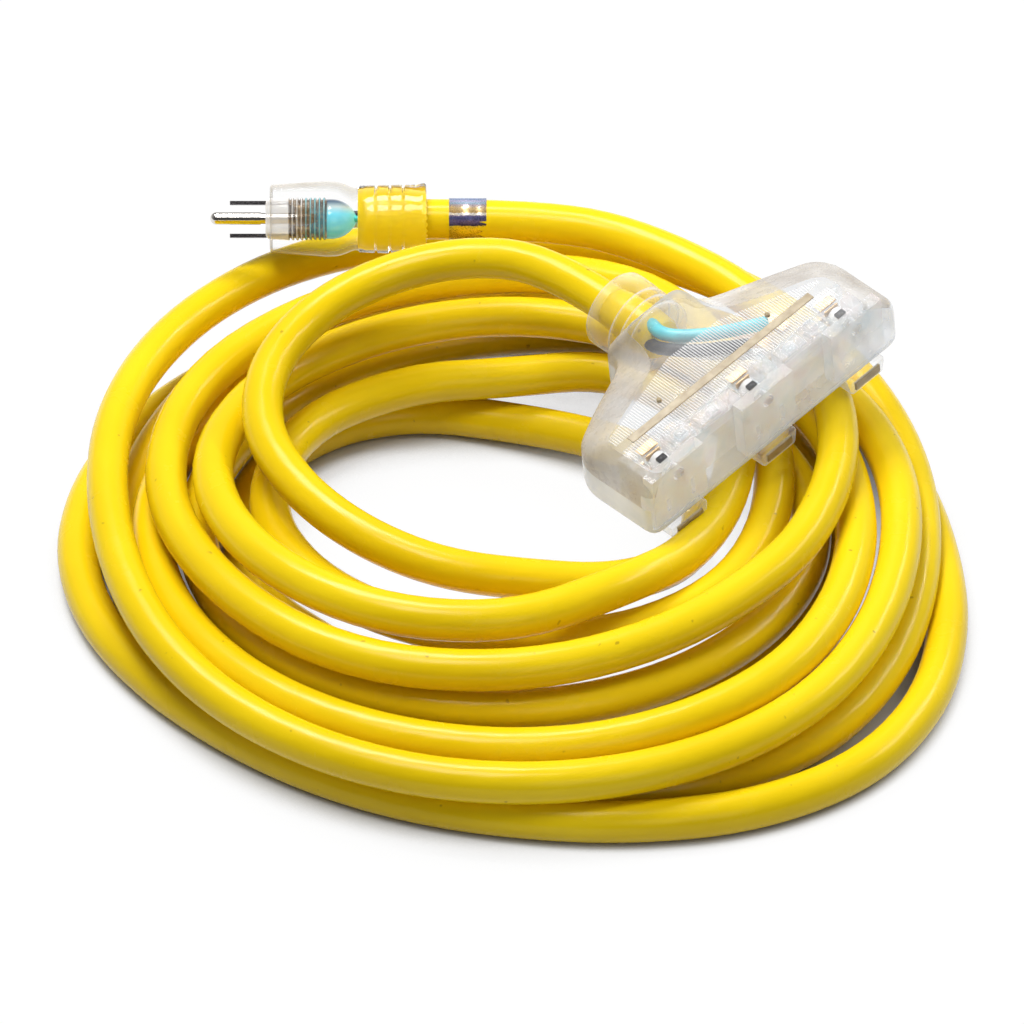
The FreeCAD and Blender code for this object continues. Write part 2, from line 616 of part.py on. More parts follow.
# stripped cord end, wires and their terminals inside the block
cord_end_in_tap = rod("cord_end_in_tap", "cord_diameter / 2 - 0.03", "19.5", ("0", "tap_neck_end - 19.55", "0"), "y")
wire = size("wire_radius")
tap_wire_hot = feature("tap_wire_hot", tube([V(-4.4, 62.4, -2.6), V(-5, 52, -3.4), V(-14, 38, -6.4), V(-23, 30.4, -7.9)], wire))
tap_wire_neutral = feature("tap_wire_neutral", tube([V(4.4, 62.4, -2.6), V(5, 52, -3.0), V(14, 38, -2.8), V(23, 30.4, -2.5)], wire))
tap_wire_ground = feature("tap_wire_ground", tube([V(0, 62.3, 5.0), V(3, 52, 5.4), V(18, 38, 6.4), V(28, 30.4, 6.6)], wire))
terminals = []
for i, (x, y, z, dx) in enumerate(((-23, 30.4, -7.9, -1), (23, 30.4, -2.5, 1), (28, 30.4, 6.6, 1))):
    terminals.append(block("tap_terminal_lug_%d" % i, ("5", "9.2", "2.4"), (x - 2.5 + 2.2 * dx, "20.5", z - 1.2)))
tap_terminals = join("tap_terminals", terminals)
tap_lamp = join("tap_lamp", [
    rod("tap_lamp_bulb", "lamp_radius", "6", ("-42", "21.8", "2.6")),
    rod("tap_lamp_link", "0.3", "4", ("-36.5", "21.8", "2.6")),
    rod("tap_resistor", "1.1", "6", ("-33", "21.8", "2.6")),
])

# every sub-part with its place
plug_nodes = {
    "plug_housing": plug_housing, "plug_inner_block": plug_inner_block, "plug_lamp_dome": plug_lamp_dome,
    "plug_blade_hot": blades["hot"], "plug_blade_neutral": blades["neutral"],
    "plug_ground_pin": plug_ground_pin, "plug_crimps": plug_crimps, "plug_wire_hot": plug_wire_hot,
    "plug_wire_neutral": plug_wire_neutral, "plug_wire_ground": plug_wire_ground, "plug_lamp": plug_lamp,
    "cord_end_in_plug": cord_end_in_plug,
}
tap_nodes = {
    "tap_housing": tap_housing, "outlet_face_left": outlet_faces[0], "outlet_face_middle": outlet_faces[1],
    "outlet_face_right": outlet_faces[2], "tap_contact_carrier": tap_contact_carrier,
    "tap_hot_bus": tap_hot_bus, "tap_neutral_bus": tap_neutral_bus, "tap_ground_bus": tap_ground_bus,
    "tap_wire_hot": tap_wire_hot, "tap_wire_neutral": tap_wire_neutral, "tap_wire_ground": tap_wire_ground,
    "tap_terminals": tap_terminals, "tap_lamp": tap_lamp, "cord_end_in_tap": cord_end_in_tap,
}
floor_nodes = {
    "cord_coil": cord_coil, "cord_lead_to_tap": cord_lead_to_tap, "cord_lead_to_plug": cord_lead_to_plug,
    "cord_label": cord_label,
}
doc.recompute()
for thing in doc.Objects:
    if any(word in thing.State for word in ("Invalid", "Error")):
        raise ValueError("not computed: " + thing.Name)

finished = {}
for name, thing in floor_nodes.items():
    finished[name] = thing
for nodes, place in ((plug_nodes, plug_place), (tap_nodes, tap_place)):
    for name, thing in nodes.items():
        held = doc.addObject("Part::Compound", name + "_placed")
        held.Links = [thing]
        held.Placement = place
        finished[name] = held
doc.recompute()

os.makedirs("parts", exist_ok=True)
for name, thing in finished.items():
    thing.Label = name
    shape = thing.Shape
    if shape.isNull() or not shape.isValid():
        raise ValueError("bad shape: " + name)
    solids = shape.Solids
    if not solids:
        raise ValueError("no solid: " + name)
    whole = solids[0] if len(solids) == 1 else Part.makeCompound(solids)
    whole.exportStep("parts/" + name + ".step")
    box = shape.BoundBox
    print("%-22s %2d solid  %9.0f mm3  z %.1f to %.1f" % (name, len(solids), shape.Volume, box.ZMin, box.ZMax))

# the cord's figures
section = math.pi * cord_radius ** 2
for name, route in (("cord_lead_to_tap", tap_lead_route), ("cord_lead_to_plug", plug_lead_route)):
    radii = corner_radii(route)
    runs = [(b - a).Length for a, b in zip(route, route[1:])]
    length = route_wire(route).Length
    print("%s: length %.0f, runs %.0f to %.0f, bend radii %.0f to %.0f, volume %.4f of section times length" % (
        name, length, min(runs), max(runs), min(radii), max(radii), finished[name].Shape.Volume / (section * length)))
print("cord_coil: length %.0f, bend radii %.0f to %.0f, volume %.4f of section times length" % (
    coil_path.Length, min(coil_radii), max(coil_radii), coil_pipe.Volume / (section * coil_path.Length)))
samples = []
travelled = 0.0
for edge in coil_path.Edges:
    count = max(2, int(edge.Length / 4))
    for k in range(count):
        share = edge.FirstParameter + (edge.LastParameter - edge.FirstParameter) * k / count
        samples.append((travelled + edge.Length * k / count, edge.valueAt(share)))
    travelled += edge.Length
least = 1e9
for i, (s, p) in enumerate(samples):
    for t, q in samples[i + 1:]:
        if t - s > 80 and abs(p.x - q.x) < 30 and abs(p.y - q.y) < 30:
            least = min(least, (p - q).Length)
print("cord_coil: least gap to itself %.2f" % (least - size("cord_diameter")))
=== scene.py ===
import math

import bmesh
import bpy
from mathutils import Matrix, Vector
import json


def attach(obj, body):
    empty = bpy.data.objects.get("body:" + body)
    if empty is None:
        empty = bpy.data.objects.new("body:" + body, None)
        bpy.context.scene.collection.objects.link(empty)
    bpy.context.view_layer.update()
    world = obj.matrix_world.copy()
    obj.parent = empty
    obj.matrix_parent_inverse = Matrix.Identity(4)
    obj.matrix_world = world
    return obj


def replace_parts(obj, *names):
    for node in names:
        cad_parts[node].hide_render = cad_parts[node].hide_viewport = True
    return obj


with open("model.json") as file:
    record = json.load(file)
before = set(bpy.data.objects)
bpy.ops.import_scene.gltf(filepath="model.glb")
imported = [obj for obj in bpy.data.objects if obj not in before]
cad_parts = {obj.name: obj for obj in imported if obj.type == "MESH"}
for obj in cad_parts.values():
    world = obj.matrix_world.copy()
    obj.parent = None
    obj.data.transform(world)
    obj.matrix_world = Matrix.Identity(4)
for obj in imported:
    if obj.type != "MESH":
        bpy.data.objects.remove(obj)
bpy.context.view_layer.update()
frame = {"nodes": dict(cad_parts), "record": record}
nodes = frame["nodes"]
scene = bpy.context.scene
scene.view_settings.view_transform = "Standard"

# camera: the photo looks down on the coil from the front
CAMERA_PLACE = Vector((0, -2.383, 1.823))
CAMERA_AIM = Vector((0, 0.0132, 0.0175))
camera_data = bpy.data.cameras.new("camera")
camera_data.lens = 279.5
camera_data.sensor_width = 36
camera_data.clip_end = 20
camera = bpy.data.objects.new("camera", camera_data)
scene.collection.objects.link(camera)
camera.location = CAMERA_PLACE
camera.rotation_euler = (CAMERA_AIM - CAMERA_PLACE).to_track_quat("-Z", "Y").to_euler()
scene.camera = camera

# sizes shared by the cord and the pieces, in metres and degrees
CORD = 0.0156
PLUG_BASE = Vector((-0.0335, 0.1418, 0.0625))
PLUG_TILT = 37.0
TAP_BASE = Vector((0.0962, -0.0007, 0.0735))
TAP_TURN = (43.6, -11.8, 5.0)
TAP_NECK_END = 0.0826

# how the coil's ends run into the two leads
COIL_STEP = 15
COIL_END_SLOPE = math.radians(-40.0)
TAP_NECK_RUN = 0.035
RUN_BEFORE_COIL = 0.0516
RUN_AFTER_COIL = 0.0396
PLUG_RUN = 0.044


def turned(yaw, pitch, roll):
    """Rotation by yaw about Z, then pitch about Y, then roll about X."""
    return (Matrix.Rotation(math.radians(yaw), 4, "Z") @ Matrix.Rotation(math.radians(pitch), 4, "Y")
            @ Matrix.Rotation(math.radians(roll), 4, "X"))


plug_frame = Matrix.Translation(PLUG_BASE) @ turned(180, 0, PLUG_TILT)
tap_frame = Matrix.Translation(TAP_BASE) @ turned(*TAP_TURN)
tap_axis = tap_frame.to_3x3() @ Vector((0, 1, 0))
tap_neck_end = tap_frame @ Vector((0, TAP_NECK_END, 0))

# the cord's points, in millimetres, from the outlet block round into the coil
tap_lead = [
    (-18.6, 94, 79), (-50.4, 90.5, 72), (-77, 72.5, 66.5), (-92.8, 44.2, 62), (-94.5, 12, 57),
    (-80.5, -17.5, 52.5), (-57, -42, 48.5), (-26.5, -57.5, 44.5), (7.5, -58.5, 40), (37, -52.5, 33.5),
    (60, -34, 27), (72, -7, 22.5), (71, 23, 18.5), (57, 50, 14.5), (31, 69, 11.5), (0, 82, 9),
    (-35, 91, 7.8), (-69, 82, 7.8), (-96, 54, 7.8), (-104, 18, 7.8),
]
# coil: angle in degrees round the middle, radius, height
coil_stations = [
    (225, 88, 7.8), (270, 97, 7.8), (315, 107, 7.8), (360, 117, 7.8),
    (405, 130, 7.8), (450, 147, 7.8), (495, 161, 7.8), (540, 164, 7.8),
    (585, 149, 7.8), (630, 156, 7.8), (675, 181.5, 7.8), (720, 160, 7.8),
    (765, 156, 11.5), (810, 151, 24), (855, 149, 22.5), (900, 147, 7.8), (945, 134, 7.8),
    (990, 142, 7.8), (1035, 159, 9), (1080, 153, 21), (1105, 156, 25.3), (1125, 159, 32),
    (1170, 165, 37.5), (1200, 171, 37), (1230, 161.5, 37.5), (1260, 151, 37), (1305, 153, 26),
    (1350, 157.5, 24), (1395, 156.5, 26), (1425, 148, 32.7), (1440, 145, 35.5), (1485, 140, 31),
    (1530, 132, 27), (1575, 131, 24), (1620, 135, 23.4), (1665, 136.5, 23.8), (1710, 137.5, 23.8),
    (1755, 142, 32), (1785, 131.8, 36.5), (1800, 127, 36.2), (1825, 124.6, 35.4), (1845, 122, 33),
    (1890, 114, 27), (1935, 114, 24), (1980, 118, 23.4), (2025, 118.6, 23.4), (2070, 114.5, 23.4),
    (2115, 113, 24), (2160, 112, 23.9), (2205, 98, 25.9),
]
# from the coil to the plug: two points in x, y and z, then angle, radius and height
plug_lead_first = [(-4, 86, 27), (-40, 81.5, 28)]
plug_lead_turns = [
    (147, 97, 29), (180, 95, 30), (210, 88, 30), (240, 82, 29.5), (270, 81, 29), (300, 90.5, 29.6),
    (330, 97.5, 31), (360, 101, 35.4), (390, 109, 42.3), (420, 109, 42), (450, 107, 43.5),
    (480, 108, 43.5), (510, 114, 43.5), (540, 116.5, 46.5), (570, 112, 50.5), (600, 106, 50),
    (630, 97, 49), (660, 83, 48.4), (690, 79.2, 38.8), (720, 84.6, 43.2), (750, 99, 56.6),
    (780, 114.5, 60), (810, 126, 51), (840, 134.5, 44), (870, 139, 41), (900, 134.5, 40),
    (930, 126, 40), (960, 123, 40), (990, 116, 40.5), (1020, 112, 42), (1050, 114.5, 44.5),
    (1068, 119.5, 49.3), (1086, 124.5, 52.5), (1104, 129, 55.2), (1127, 134.5, 58.5), (1150, 140.5, 60.8),
]


def polar(angle, radius, height):
    turn = math.radians(angle)
    return Vector((radius * math.cos(turn), radius * math.sin(turn), height)) / 1000


def station_slopes(stations, k, first_slope, last_slope):
    """How fast radius (k = 1) or height (k = 2) changes with the angle at every station."""
    slopes = [first_slope]
    for before, here, after in zip(stations, stations[1:], stations[2:]):
        back, ahead = here[0] - before[0], after[0] - here[0]
        one, two = (here[k] - before[k]) / back, (after[k] - here[k]) / ahead
        turns_back = k == 2 and one * two <= 0
        slopes.append(0.0 if turns_back else (one * ahead + two * back) / (back + ahead))
    return slopes + [last_slope]


def coil_turns(stations, step, end_slope):
    """The coil's control points, one every few degrees of every turn."""
    first, second = stations[:2]
    start_slope = (second[1] - first[1]) / (second[0] - first[0])
    slopes = {1: station_slopes(stations, 1, start_slope, end_slope),
              2: station_slopes(stations, 2, 0.0, 0.0)}
    widen = 1 / math.cos(math.radians(step / 2))
    points = []
    angle = first[0]
    i = 0
    while angle < stations[-1][0] + 0.1:
        while i < len(stations) - 2 and angle > stations[i + 1][0]:
            i += 1
        a, b = stations[i], stations[i + 1]
        span = b[0] - a[0]
        t = (angle - a[0]) / span
        found = []
        for k in (1, 2):
            m0, m1 = slopes[k][i] * span, slopes[k][i + 1] * span
            found.append((2 * t ** 3 - 3 * t ** 2 + 1) * a[k] + (t ** 3 - 2 * t ** 2 + t) * m0
                         + (3 * t ** 2 - 2 * t ** 3) * b[k] + (t ** 3 - t ** 2) * m1)
        points.append(polar(angle, found[0] * widen, found[1]))
        angle += step
    return points


coil = coil_turns(coil_stations, COIL_STEP, COIL_END_SLOPE)
first_heading = (coil[1] - coil[0]).normalized()
last_heading = (coil[-1] - coil[-2]).normalized()
route = [tap_neck_end, tap_neck_end + tap_axis * TAP_NECK_RUN]
route += [Vector(point) / 1000 for point in tap_lead]
route += [coil[0] - first_heading * RUN_BEFORE_COIL]
route += coil
route += [coil[-1] + last_heading * RUN_AFTER_COIL]
route += [Vector(point) / 1000 for point in plug_lead_first]
route += [polar(*point) for point in plug_lead_turns]
route += [PLUG_BASE + Vector((PLUG_RUN, 0, 0)), PLUG_BASE]

curve = bpy.data.curves.new("cord", "CURVE")
curve.dimensions = "3D"
spline = curve.splines.new("NURBS")
spline.points.add(len(route) - 1)
for point, place in zip(spline.points, route):
    point.co = (*place, 1)
spline.order_u = 3
spline.use_endpoint_u = True
spline.resolution_u = 6
curve.bevel_depth = CORD / 2
curve.bevel_resolution = 7
curve.use_fill_caps = True
cord = bpy.data.objects.new("cord", curve)
scene.collection.objects.link(cord)


# materials: every one has colour and roughness that vary over the surface, and most have a bump
def add(tree, kind, **props):
    node = tree.nodes.new(kind)
    for key, value in props.items():
        if key in node.inputs:
            node.inputs[key].default_value = value
        else:
            setattr(node, key, value)
    return node


def spread(tree, source, stops):
    """A colour ramp over a value, from stops of (position, colour)."""
    ramp = add(tree, "ShaderNodeValToRGB")
    marks = ramp.color_ramp.elements
    while len(marks) < len(stops):
        marks.new(0.5)
    for mark, (place, colour) in zip(marks, stops):
        mark.position = place
        mark.color = (*colour, 1)
    tree.links.new(source, ramp.inputs["Fac"])
    return ramp.outputs["Color"]


def scaled(tree, source, low, high, from_low=0.3, from_high=0.7):
    """A value stretched from one range to another."""
    node = add(tree, "ShaderNodeMapRange")
    for name, value in (("From Min", from_low), ("From Max", from_high), ("To Min", low), ("To Max", high)):
        node.inputs[name].default_value = value
    tree.links.new(source, node.inputs["Value"])
    return node.outputs["Result"]


def material(name, stops, rough, scale, bump, depth=0.0002, see=None, **values):
    """A surface whose colour, roughness and bump come from noise.

    see is the share that hides what is behind, facing the viewer and at the edge.
    """
    made = bpy.data.materials.new(name)
    made.use_nodes = True
    tree = made.node_tree
    shader = tree.nodes["Principled BSDF"]
    for key, value in values.items():
        shader.inputs[key.replace("_", " ")].default_value = value
    coord = add(tree, "ShaderNodeTexCoord")
    broad = add(tree, "ShaderNodeTexNoise", Scale=scale, Detail=3.0)
    fine = add(tree, "ShaderNodeTexNoise", Scale=scale * 6, Detail=4.0)
    for node in (broad, fine):
        tree.links.new(coord.outputs["Object"], node.inputs["Vector"])
    tree.links.new(spread(tree, broad.outputs["Fac"], stops), shader.inputs["Base Color"])
    tree.links.new(scaled(tree, fine.outputs["Fac"], *rough), shader.inputs["Roughness"])
    if bump:
        bend = add(tree, "ShaderNodeBump", Strength=bump, Distance=depth)
        tree.links.new(fine.outputs["Fac"], bend.inputs["Height"])
        tree.links.new(bend.outputs["Normal"], shader.inputs["Normal"])
    if see:
        facing = add(tree, "ShaderNodeLayerWeight", Blend=0.5)
        tree.links.new(scaled(tree, facing.outputs["Facing"], *see, 0.15, 0.95), shader.inputs["Alpha"])
    return made


def inside(made):
    """A material's node tree and shader."""
    return made.node_tree, made.node_tree.nodes["Principled BSDF"]


def object_height(tree, half):
    """Object coordinates, and z from 0 to 1 between half below and half above the axis."""
    where = add(tree, "ShaderNodeTexCoord")
    split = add(tree, "ShaderNodeSeparateXYZ")
    tree.links.new(where.outputs["Object"], split.inputs["Vector"])
    return where, scaled(tree, split.outputs["Z"], 0, 1, -half, half)


def bump_over(tree, source, below, strength, distance):
    """A bump from a value, laid over the bump below it."""
    node = add(tree, "ShaderNodeBump", Strength=strength, Distance=distance)
    tree.links.new(source, node.inputs["Height"])
    if below:
        tree.links.new(below, node.inputs["Normal"])
    return node.outputs["Normal"]


# jacket: yellow PVC, uneven along its length, with the laid-up wires showing faintly and small scuffs
jacket = material(
    "yellow_jacket", [(0.3, (0.80, 0.555, 0.003)), (0.5, (0.86, 0.61, 0.005)), (0.7, (0.91, 0.665, 0.009))],
    (0.2, 0.29), 11.0, 0, Specular_IOR_Level=0.2)
tree, shader = inside(jacket)
around = add(tree, "ShaderNodeTexCoord")
strip = add(tree, "ShaderNodeMapping")
strip.inputs["Scale"].default_value = (170, 3, 1)
tree.links.new(around.outputs["UV"], strip.inputs["Vector"])
draw = add(tree, "ShaderNodeTexNoise", Scale=1.0, Detail=2.0)
lay = add(tree, "ShaderNodeTexWave", wave_type="BANDS", bands_direction="DIAGONAL", Scale=1.6, Distortion=1.2)
for node in (draw, lay):
    tree.links.new(strip.outputs["Vector"], node.inputs["Vector"])
dents = add(tree, "ShaderNodeTexNoise", Scale=420.0, Detail=2.0)
scuffs = add(tree, "ShaderNodeTexNoise", Scale=260.0, Detail=1.0)
for node in (dents, scuffs):
    tree.links.new(around.outputs["Object"], node.inputs["Vector"])
drawn = bump_over(tree, draw.outputs["Fac"], None, 0.16, 0.0007)
twisted = bump_over(tree, lay.outputs["Fac"], drawn, 0.05, 0.0005)
grain = bump_over(tree, dents.outputs["Fac"], twisted, 0.05, 0.0002)
tree.links.new(grain, shader.inputs["Normal"])
dirt = scaled(tree, scuffs.outputs["Fac"], 0.0, 0.6, 0.76, 0.82)
mixed = add(tree, "ShaderNodeMix", data_type="RGBA")
tree.links.new(dirt, mixed.inputs["Factor"])
tree.links.new(shader.inputs["Base Color"].links[0].from_socket, mixed.inputs["A"])
mixed.inputs["B"].default_value = (0.33, 0.2, 0.01, 1)
tree.links.new(mixed.outputs["Result"], shader.inputs["Base Color"])

# clear plastics of the outlet block and the plug; some glow faintly, painted light that brightens them as if
# lit inside
CLEAR = [(0.3, (0.86, 0.87, 0.9)), (0.7, (0.97, 0.96, 0.95))]
WARM_PAINTED_GLOW = (1, 0.98, 0.95, 1)
COLD_PAINTED_GLOW = (0.85, 0.92, 1, 1)
frosted = material(
    "frosted_plastic", [(0.3, (0.46, 0.41, 0.36)), (0.5, (0.58, 0.54, 0.49)), (0.7, (0.74, 0.71, 0.68))],
    (0.22, 0.36), 60.0, 0.25, 0.0003, see=(0.42, 0.92))
panel_clear = material("panel_plastic", CLEAR, (0.06, 0.14), 120.0, 0.1, see=(0.07, 0.5))
face_clear = material(
    "front_plastic", [(0.3, (0.76, 0.8, 0.86)), (0.7, (0.93, 0.94, 0.96))],
    (0.06, 0.12), 70.0, 0.1, see=(0.05, 0.6), Emission_Color=COLD_PAINTED_GLOW, Emission_Strength=0.16)
band_clear = material(
    "band_plastic", [(0.3, (0.62, 0.66, 0.72)), (0.7, (0.84, 0.86, 0.9))],
    (0.12, 0.22), 70.0, 0.1, see=(0.4, 0.9), Emission_Color=COLD_PAINTED_GLOW, Emission_Strength=0.12)
rib_clear = material(
    "rib_plastic", CLEAR,
    (0.2, 0.3), 200.0, 0.1, see=(0.25, 0.85), Emission_Color=WARM_PAINTED_GLOW, Emission_Strength=0.1)
shell_clear = material(
    "clear_plastic", [(0.3, (0.56, 0.51, 0.42)), (0.7, (0.78, 0.74, 0.68))],
    (0.03, 0.08), 60.0, 0.06, see=(0.02, 0.95))
neck_clear = material(
    "neck_plastic", [(0.3, (0.97, 0.96, 0.93)), (0.7, (1.0, 1.0, 0.98))],
    (0.02, 0.05), 60.0, 0.06, Transmission_Weight=1.0, IOR=1.36)
inner_clear = material(
    "inner_plastic", [(0.3, (0.66, 0.80, 0.86)), (0.5, (0.95, 0.94, 0.93)), (0.7, (0.94, 0.80, 0.80))],
    (0.06, 0.14), 110.0, 0.2, see=(0.1, 0.85), Emission_Color=(0.9, 0.94, 1, 1), Emission_Strength=0.12)
core_clear = material(
    "core_plastic", [(0.3, (0.72, 0.66, 0.60)), (0.5, (0.9, 0.87, 0.84)), (0.7, (0.97, 0.97, 0.97))],
    (0.05, 0.1), 170.0, 0.25, see=(0.5, 1.0), Emission_Color=WARM_PAINTED_GLOW, Emission_Strength=0.15)
# painted shade: near black to tan, for the faces between the ridges
groove = material(
    "core_groove_shade", [(0.3, (0.03, 0.022, 0.02)), (0.5, (0.2, 0.14, 0.09)), (0.7, (0.5, 0.42, 0.32))],
    (0.1, 0.2), 300.0, 0.2, see=(0.7, 1.0))
core_tinted = material(
    "core_tinted", [(0.3, (0.12, 0.55, 0.64)), (0.7, (0.5, 0.8, 0.86))],
    (0.05, 0.1), 170.0, 0.2, see=(0.65, 1.0))

# the cord's end in the plug's neck, metals, wires and tan parts
# the cord's end in the plug's neck glows yellow: painted light that brightens it inside the clear neck
bedded = material(
    "bedded_jacket", [(0.3, (0.82, 0.57, 0.003)), (0.7, (0.93, 0.68, 0.01))],
    (0.3, 0.4), 40.0, 0.1, Emission_Color=(0.9, 0.62, 0.01, 1), Emission_Strength=0.3)
metal = material(
    "blade_metal", [(0.3, (0.30, 0.28, 0.30)), (0.7, (0.42, 0.39, 0.40))],
    (0.16, 0.3), 220.0, 0.08, Metallic=1.0)
pin_metal = material(
    "pin_metal", [(0.3, (0.66, 0.62, 0.57)), (0.7, (0.82, 0.79, 0.75))],
    (0.1, 0.2), 220.0, 0.08, Metallic=1.0)
brass = material(
    "contact_brass", [(0.3, (0.50, 0.34, 0.18)), (0.7, (0.72, 0.52, 0.30))],
    (0.3, 0.45), 300.0, 0.1, Metallic=0.55)
tan = material("tan_plastic", [(0.3, (0.33, 0.25, 0.14)), (0.7, (0.47, 0.38, 0.24))], (0.3, 0.45), 260.0, 0.1)
black = material(
    "black_wire", [(0.3, (0.006, 0.006, 0.008)), (0.7, (0.02, 0.02, 0.024))], (0.3, 0.45), 150.0, 0.1)
white = material(
    "white_wire", [(0.3, (0.74, 0.74, 0.73)), (0.7, (0.88, 0.88, 0.87))], (0.3, 0.45), 150.0, 0.1)
green = material(
    "green_wire", [(0.3, (0.03, 0.50, 0.58)), (0.7, (0.08, 0.66, 0.74))], (0.25, 0.4), 150.0, 0.1)

# dome: teal plastic with a painted glow in its own colour, darker towards its top edge
BAND_HALF = 0.008
blue = material("blue_plastic", CLEAR, (0.05, 0.1), 90.0, 0.05, Emission_Strength=0.45)
tree, shader = inside(blue)
height = object_height(tree, BAND_HALF)[1]
teal = spread(tree, height, [
    (0.0, (0.05, 0.36, 0.42)), (0.25, (0.15, 0.58, 0.70)), (0.6, (0.16, 0.60, 0.74)),
    (0.78, (0.36, 0.44, 0.44)), (0.9, (0.07, 0.12, 0.17)), (1.0, (0.01, 0.02, 0.05))])
# the same teal is also the glow: painted light
for socket in ("Base Color", "Emission Color"):
    tree.links.new(teal, shader.inputs[socket])

# foil label: brass yellow below, a dark violet band, a pale line, then brass and silver-blue at the top
foil = material("foil_label", CLEAR, (0.2, 0.36), 260.0, 0.12, Metallic=0.4)
tree, shader = inside(foil)
where, height = object_height(tree, BAND_HALF)
play = add(tree, "ShaderNodeTexNoise", Scale=330.0, Detail=3.0, Distortion=1.5)
tree.links.new(where.outputs["Object"], play.inputs["Vector"])
shift = add(tree, "ShaderNodeMath", operation="MULTIPLY_ADD")
shift.inputs[1].default_value = 0.07
tree.links.new(play.outputs["Fac"], shift.inputs[0])
tree.links.new(height, shift.inputs[2])
bands = spread(tree, shift.outputs[0], [
    (0.0, (0.42, 0.27, 0.02)), (0.14, (0.62, 0.42, 0.02)), (0.3, (0.78, 0.56, 0.03)),
    (0.345, (0.80, 0.60, 0.06)), (0.36, (0.03, 0.025, 0.09)), (0.46, (0.16, 0.12, 0.30)),
    (0.54, (0.07, 0.09, 0.26)), (0.6, (0.24, 0.2, 0.4)), (0.615, (0.92, 0.88, 0.84)),
    (0.665, (0.88, 0.83, 0.76)), (0.68, (0.50, 0.33, 0.12)), (0.78, (0.66, 0.48, 0.24)),
    (0.87, (0.42, 0.36, 0.42)), (0.9, (0.34, 0.5, 0.62)), (0.97, (0.56, 0.52, 0.74)),
    (1.0, (0.22, 0.3, 0.5))])
tree.links.new(bands, shader.inputs["Base Color"])

# the solids that are kept as they are get the look of their slot
looks = {
    "jacket": jacket, "label": foil, "clear_plastic": inner_clear, "blue_plastic": blue, "blade_metal": metal,
    "contact_brass": brass, "black_wire": black, "white_wire": white, "green_wire": green,
    "lamp_glass": inner_clear,
}
slot_of = {part["node"]: part["material_slot"] for part in frame["record"]["subparts"]}
for name, node in nodes.items():
    node.data.materials.clear()
    node.data.materials.append(looks[slot_of[name]])
nodes["plug_ground_pin"].data.materials[0] = pin_metal
nodes["plug_inner_block"].data.materials[0] = core_clear


# pieces, drawn in millimetres in the plug's or the outlet block's own frame
def placed(name, data, place):
    made = bpy.data.objects.new(name, data)
    scene.collection.objects.link(made)
    made.matrix_world = place
    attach(made, "root")
    return made


def build(name, points, faces, place, slot, *kinds):
    mesh = bpy.data.meshes.new(name)
    mesh.from_pydata([Vector(point) / 1000 for point in points], [], faces)
    form = bmesh.new()
    form.from_mesh(mesh)
    bmesh.ops.recalc_face_normals(form, faces=form.faces)
    form.to_mesh(mesh)
    form.free()
    for kind in kinds:
        mesh.materials.append(kind)
    for face in mesh.polygons:
        face.use_smooth = True
    return placed(name, mesh, place)


def skin(rings):
    """Points and faces of a closed body through rings that all have the same number of points."""
    count = len(rings[0])
    points = [point for ring in rings for point in ring]
    faces = []
    for r in range(len(rings) - 1):
        for i in range(count):
            j = (i + 1) % count
            faces.append((r * count + i, r * count + j, (r + 1) * count + j, (r + 1) * count + i))
    faces.append(tuple(range(count)))
    faces.append(tuple(range(len(points) - count, len(points))))
    return points, faces


def soften(made, width, angle=32):
    """Rounds the edges that are sharper than the angle."""
    bevel = made.modifiers.new("soft", "BEVEL")
    bevel.width = width / 1000
    bevel.segments = 3
    bevel.limit_method = "ANGLE"
    bevel.angle_limit = math.radians(angle)
    bevel.harden_normals = True


def oval(along, half_y, half_z, power=2, middle_y=0.0, count=48):
    """A ring round the x axis between an ellipse and a rounded box."""
    ring = []
    for i in range(count):
        turn = 2 * math.pi * i / count
        c, s = math.cos(turn), math.sin(turn)
        ring.append((along, middle_y + math.copysign(abs(c) ** (2 / power), c) * half_y,
                     math.copysign(abs(s) ** (2 / power), s) * half_z))
    return ring


def turn_x(profile):
    """Rings round the x axis, from pairs of place and radius."""
    return [oval(x, radius, radius) for x, radius in profile]


def turn_y(profile, x=0.0, z=0.0, count=40):
    """Rings round a line parallel to y, from pairs of place and radius."""
    return [[(x + radius * math.cos(2 * math.pi * i / count), y,
              z + radius * math.sin(2 * math.pi * i / count)) for i in range(count)] for y, radius in profile]


def box_at(low, high):
    (x0, y0, z0), (x1, y1, z1) = low, high
    return skin([[(x0, y0, z), (x1, y0, z), (x1, y1, z), (x0, y1, z)] for z in (z0, z1)])


def together(parts):
    """Several bodies as one."""
    points, faces = [], []
    for more_points, more_faces in parts:
        start = len(points)
        points += more_points
        faces += [tuple(start + i for i in face) for face in more_faces]
    return points, faces


def wire(name, path, radius, kind, place, node):
    data = bpy.data.curves.new(name, "CURVE")
    data.dimensions = "3D"
    line = data.splines.new("NURBS")
    line.points.add(len(path) - 1)
    for point, spot in zip(line.points, path):
        point.co = (*(Vector(spot) / 1000), 1)
    line.order_u = 3
    line.use_endpoint_u = True
    data.bevel_depth = radius / 1000
    data.bevel_resolution = 5
    data.use_fill_caps = True
    data.materials.append(kind)
    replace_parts(placed(name, data, place), node)


